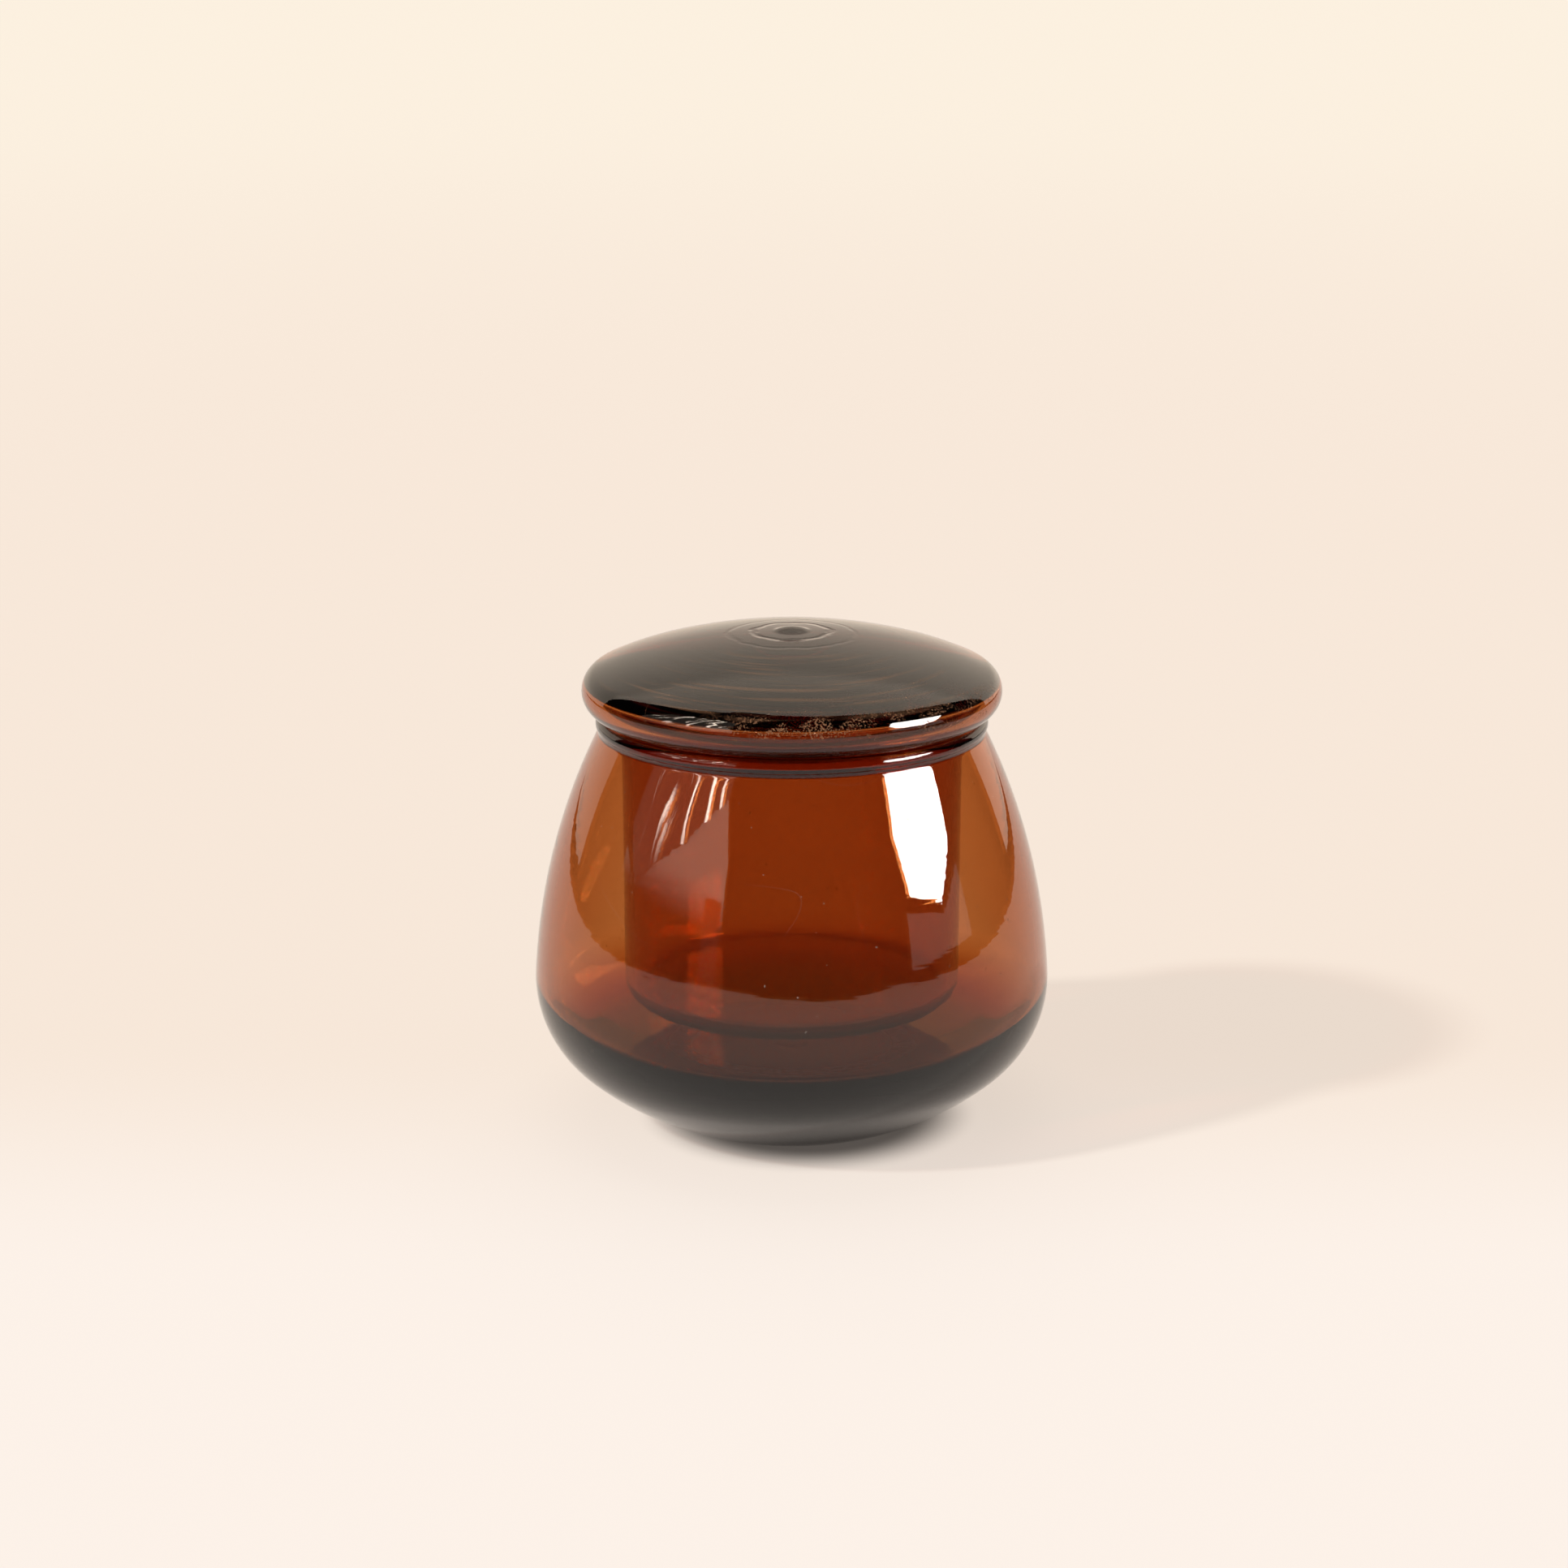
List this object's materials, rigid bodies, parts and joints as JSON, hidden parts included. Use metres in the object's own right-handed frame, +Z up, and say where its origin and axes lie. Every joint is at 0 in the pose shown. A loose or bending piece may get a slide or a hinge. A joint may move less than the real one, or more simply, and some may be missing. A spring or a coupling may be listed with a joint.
{
  "type": "double-walled lidded glass jar",
  "caption": "Small pot-bellied amber glass jar with a straight inner cup inside a sealed, heavy-based outer shell, and a thick domed lid that lifts off.",
  "frame": {"origin": "middle of the foot's underside, on the surface that the jar stands on", "axes": "+Z up along the jar's axis, out of the mouth and through the lid's crown"},
  "size_m": [0.1, 0.1, 0.096],
  "materials": {
    "shell_glass": "clear amber, fire-polished",
    "cup_glass": "clear amber, fire-polished",
    "lid_glass": "deep amber, nearly black where it is thick, with faint round tool marks",
    "seal_glass": "deep amber, melted and flattened"
  },
  "bodies": {
    "jar": {"outer_shell": "shell_glass", "inner_cup": "cup_glass", "base_seal_tip": "seal_glass"},
    "lid": {"lid_dome": "lid_glass", "lid_pan": "lid_glass", "lid_seal_tip": "seal_glass"}
  },
  "joints": [
    {"name": "lid_lift", "type": "slide", "parent": "jar", "child": "lid", "axis": [0, 0, 1], "range_m": [0, 0.06]}
  ]
}
